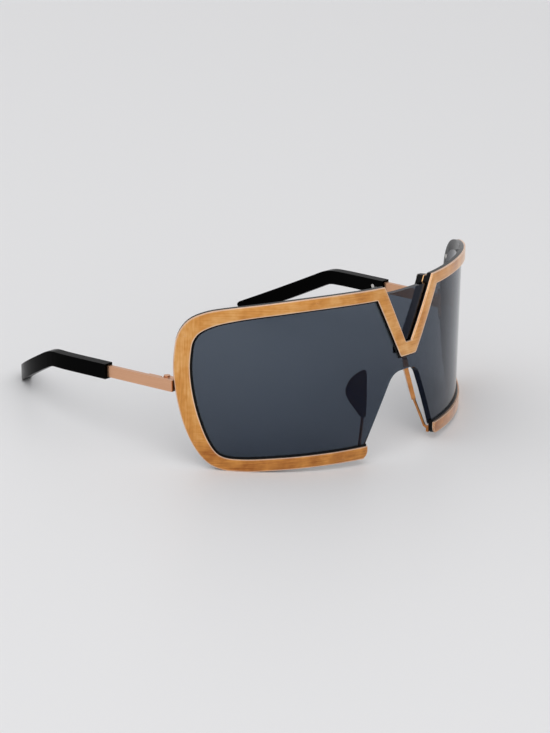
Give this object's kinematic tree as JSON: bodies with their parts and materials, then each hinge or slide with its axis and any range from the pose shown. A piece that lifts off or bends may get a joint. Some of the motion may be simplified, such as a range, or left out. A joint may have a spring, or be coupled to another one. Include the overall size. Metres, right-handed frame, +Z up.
{
  "type": "shield sunglasses",
  "caption": "Wraparound one-lens shield sunglasses with a metal front plate, notched brow, folding metal temples with black tips, and nose pads on wire arms.",
  "frame": {"origin": "on the surface the glasses stand on, under the middle of their bounding box", "axes": "+X to the wearer's left, +Y from the lens towards the temple tips, +Z up from the surface"},
  "size_m": [0.1524, 0.1278, 0.0618],
  "materials": {
    "plate_gold": "brushed, gold plated, clear coated",
    "frame_black": "polished black",
    "lens_tint": "polished, grey tint",
    "trim_gold": "polished, gold plated",
    "screw_steel": "plain",
    "temple_gold": "satin, pale rose gold plated",
    "tip_black": "smooth satin black",
    "arm_gold": "polished, gold plated",
    "pad_gold": "polished, gold plated"
  },
  "bodies": {
    "front": {"front_plate": "plate_gold", "rim_frame": "frame_black", "lens": "lens_tint", "bridge_trim": "trim_gold", "bridge_back": "frame_black", "bridge_screws": "screw_steel", "frame_screws": "screw_steel", "end_piece_left": "temple_gold", "end_piece_right": "temple_gold", "end_screws": "screw_steel", "hinge_screws": "screw_steel", "pad_arm_left": "arm_gold", "pad_arm_right": "arm_gold", "nose_pad_left": "pad_gold", "nose_pad_right": "pad_gold", "pad_screws": "screw_steel"},
    "left_temple": {"temple_hinge_left": "temple_gold", "hinge_rivets_left": "screw_steel", "temple_bar_left": "temple_gold", "temple_tip_left": "tip_black", "tip_rivet_left": "screw_steel"},
    "right_temple": {"temple_hinge_right": "temple_gold", "hinge_rivets_right": "screw_steel", "temple_bar_right": "temple_gold", "temple_tip_right": "tip_black", "tip_rivet_right": "screw_steel"}
  },
  "joints": [
    {"name": "left_temple_fold", "type": "hinge", "parent": "front", "child": "left_temple", "pos_m": [0.07089, -0.01667, 0.02677], "axis": [0, 0.1358, 0.9907], "range_deg": [0, 79]},
    {"name": "right_temple_fold", "type": "hinge", "parent": "front", "child": "right_temple", "pos_m": [-0.07089, -0.01667, 0.02677], "axis": [0, 0.1358, 0.9907], "range_deg": [-90, 0]}
  ]
}
